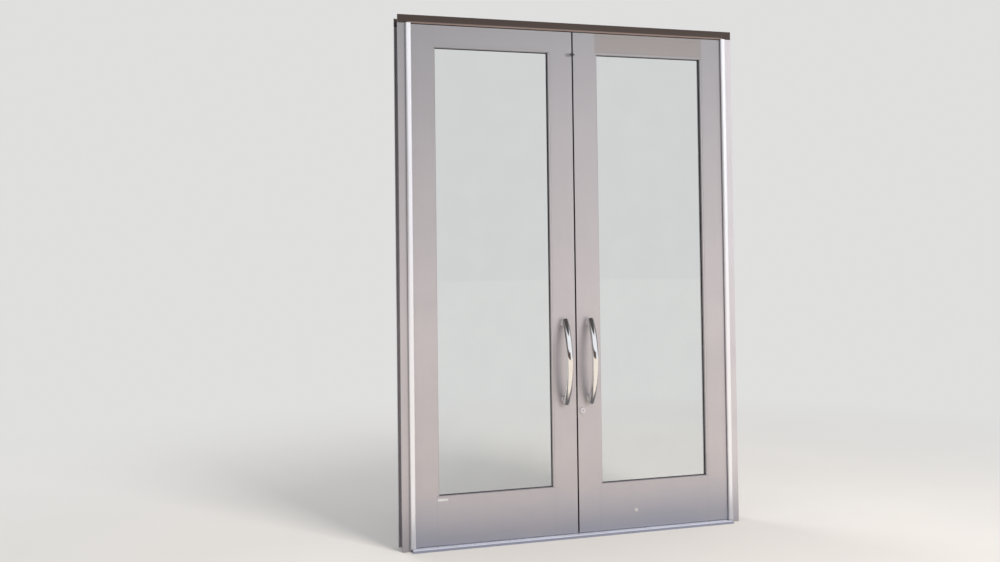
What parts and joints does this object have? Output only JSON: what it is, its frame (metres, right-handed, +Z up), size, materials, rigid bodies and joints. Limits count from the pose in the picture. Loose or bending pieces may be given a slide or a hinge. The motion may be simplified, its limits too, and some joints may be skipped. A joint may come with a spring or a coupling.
{
  "type": "pair of framed glass doors",
  "caption": "Tall outward-opening aluminium and glass doors in their frame, on full-height geared hinges, with bow pulls, hook-bolt lock, flush bolts and fluted threshold.",
  "frame": {"origin": "on the floor under the threshold, midway between the jambs and midway through their depth", "axes": "+X to the right seen from the street, +Y into the building, +Z up"},
  "size_m": [1.9304, 0.2308, 2.7877],
  "materials": {
    "anodised_aluminium": "satin clear anodised, warm light grey",
    "mill_aluminium": "mill finish, scuffed by feet",
    "polished_chrome": "mirror polished",
    "satin_steel": "satin",
    "clear_glass": "clear, slightly grey",
    "black_rubber": "matt black",
    "acetal": "off-white, smooth"
  },
  "bodies": {
    "frame": {"left_jamb": "anodised_aluminium", "right_jamb": "anodised_aluminium", "header": "anodised_aluminium", "header_clips": "mill_aluminium", "threshold": "mill_aluminium", "left_jamb_stop": "anodised_aluminium", "right_jamb_stop": "anodised_aluminium", "left_jamb_seal": "black_rubber", "right_jamb_seal": "black_rubber", "head_stop": "anodised_aluminium", "head_seal": "black_rubber", "left_frame_gear": "anodised_aluminium", "right_frame_gear": "anodised_aluminium"},
    "left_cap": {"left_hinge_cap": "anodised_aluminium", "left_hinge_bearings": "acetal"},
    "right_cap": {"right_hinge_cap": "anodised_aluminium", "right_hinge_bearings": "acetal"},
    "left_leaf": {"left_leaf_gear": "anodised_aluminium", "left_hinge_stile": "anodised_aluminium", "left_meeting_stile": "anodised_aluminium", "left_top_rail": "anodised_aluminium", "left_bottom_rail": "anodised_aluminium", "left_corner_clips": "mill_aluminium", "left_glass": "clear_glass", "left_setting_blocks": "black_rubber", "left_glazing_beads": "anodised_aluminium", "left_gaskets": "black_rubber", "left_pull": "polished_chrome", "left_push_plate": "satin_steel", "left_bottom_sweep": "black_rubber", "meeting_seals": "black_rubber", "strike_plate": "satin_steel", "top_bolt_case": "satin_steel", "bottom_bolt_case": "satin_steel"},
    "right_leaf": {"right_leaf_gear": "anodised_aluminium", "right_hinge_stile": "anodised_aluminium", "right_meeting_stile": "anodised_aluminium", "right_top_rail": "anodised_aluminium", "right_bottom_rail": "anodised_aluminium", "right_corner_clips": "mill_aluminium", "right_glass": "clear_glass", "right_setting_blocks": "black_rubber", "right_glazing_beads": "anodised_aluminium", "right_gaskets": "black_rubber", "right_pull": "polished_chrome", "right_push_plate": "satin_steel", "right_bottom_sweep": "black_rubber", "lock_case": "satin_steel", "lock_cylinder": "satin_steel"},
    "top_bolt": {"top_bolt_rod": "satin_steel"},
    "bottom_bolt": {"bottom_bolt_rod": "satin_steel"},
    "hook_bolt": {"lock_bolt": "satin_steel"},
    "key_plug": {"key_plug": "satin_steel"},
    "thumbturn": {"thumbturn": "satin_steel"}
  },
  "joints": [
    {"name": "left_cap_swing", "type": "hinge", "parent": "frame", "child": "left_cap", "pos_m": [-0.91633, -0.06615, 1.35], "axis": [0, 0, -1], "range_deg": [0, 55]},
    {"name": "left_leaf_swing", "type": "hinge", "parent": "left_cap", "child": "left_leaf", "pos_m": [-0.90453, -0.06615, 1.35], "axis": [0, 0, -1], "range_deg": [0, 55]},
    {"name": "right_cap_swing", "type": "hinge", "parent": "frame", "child": "right_cap", "pos_m": [0.91633, -0.06615, 1.35], "axis": [0, 0, 1], "range_deg": [0, 55]},
    {"name": "right_leaf_swing", "type": "hinge", "parent": "right_cap", "child": "right_leaf", "pos_m": [0.90453, -0.06615, 1.35], "axis": [0, 0, 1], "range_deg": [0, 55]},
    {"name": "top_bolt_slide", "type": "slide", "parent": "left_leaf", "child": "top_bolt", "axis": [0, 0, 1], "range_m": [0, 0.014]},
    {"name": "bottom_bolt_slide", "type": "slide", "parent": "left_leaf", "child": "bottom_bolt", "axis": [0, 0, -1], "range_m": [0, 0.014]},
    {"name": "hook_bolt_turn", "type": "hinge", "parent": "right_leaf", "child": "hook_bolt", "pos_m": [0.028, -0.03492, 0.7178], "axis": [0, -1, 0], "range_deg": [0, 90]},
    {"name": "thumbturn_turn", "type": "hinge", "parent": "right_leaf", "child": "thumbturn", "pos_m": [0.0326, -0.0127, 0.6758], "axis": [0, -1, 0], "range_deg": [0, 90]},
    {"name": "key_plug_turn", "type": "hinge", "parent": "right_leaf", "child": "key_plug", "pos_m": [0.0326, -0.05715, 0.6758], "axis": [0, 1, 0], "range_deg": [0, 90]}
  ],
  "couplings": [
    {"joint": "left_cap_swing", "follows": "left_leaf_swing", "ratio": 1},
    {"joint": "right_cap_swing", "follows": "right_leaf_swing", "ratio": 1},
    {"joint": "hook_bolt_turn", "follows": "thumbturn_turn", "ratio": 1}
  ]
}
